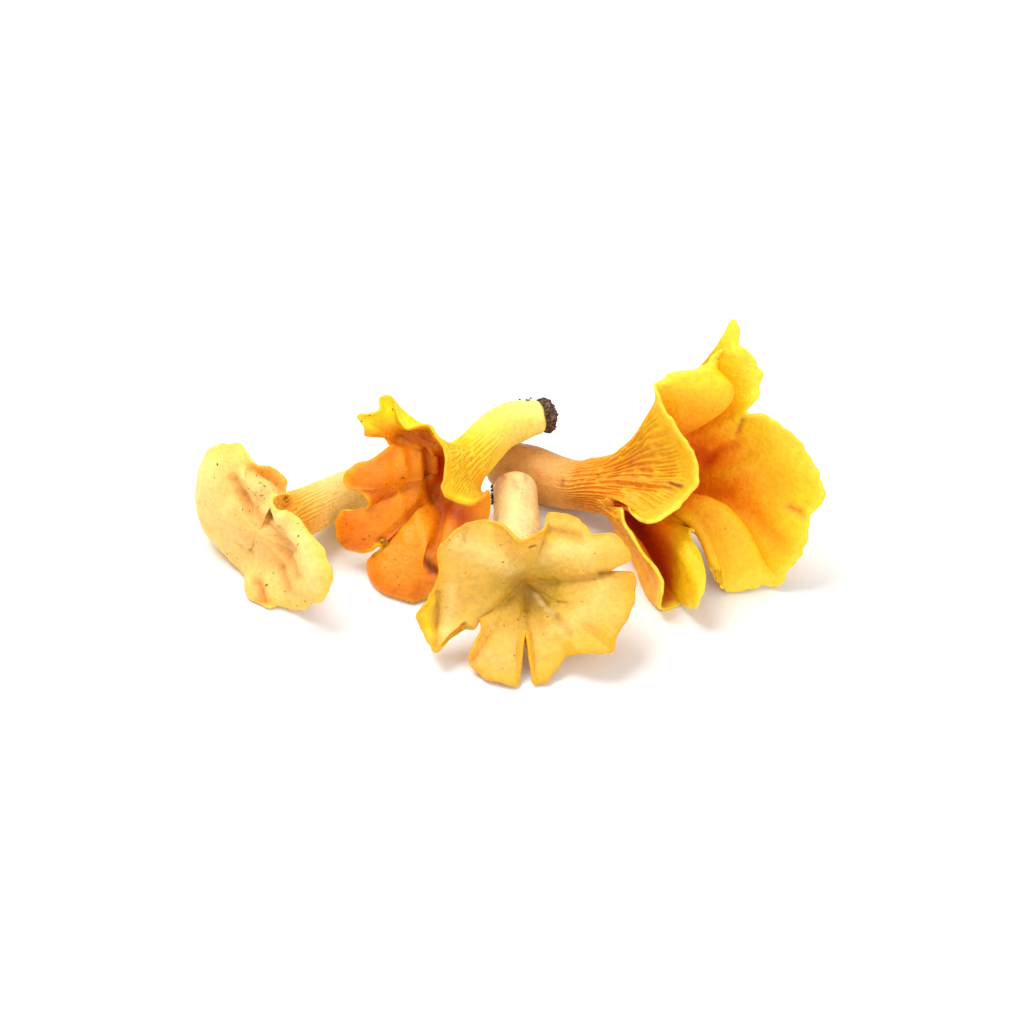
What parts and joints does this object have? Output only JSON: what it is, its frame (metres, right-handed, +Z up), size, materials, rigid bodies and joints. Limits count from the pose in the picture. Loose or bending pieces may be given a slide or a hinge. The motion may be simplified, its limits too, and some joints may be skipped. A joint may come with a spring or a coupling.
{
  "type": "heap of chanterelle mushrooms",
  "caption": "Small heap of funnel-shaped mushrooms with lobed caps and ridged undersides, lying stem over stem, with a lump of soil on one stem's end.",
  "frame": {"origin": "on the table, below the middle of the heap", "axes": "+X to the heap's right and +Y to its back as seen from its front, +Z up"},
  "size_m": [0.1888, 0.1032, 0.0727],
  "materials": {
    "golden_flesh": "satin",
    "orange_flesh": "satin",
    "buff_flesh": "satin",
    "pale_flesh": "satin",
    "soil": "rough"
  },
  "bodies": {
    "root": {"large_chanterelle": "golden_flesh", "ruffled_chanterelle": "orange_flesh", "front_chanterelle": "buff_flesh", "left_chanterelle": "pale_flesh", "soil_clump": "soil"}
  },
  "joints": []
}
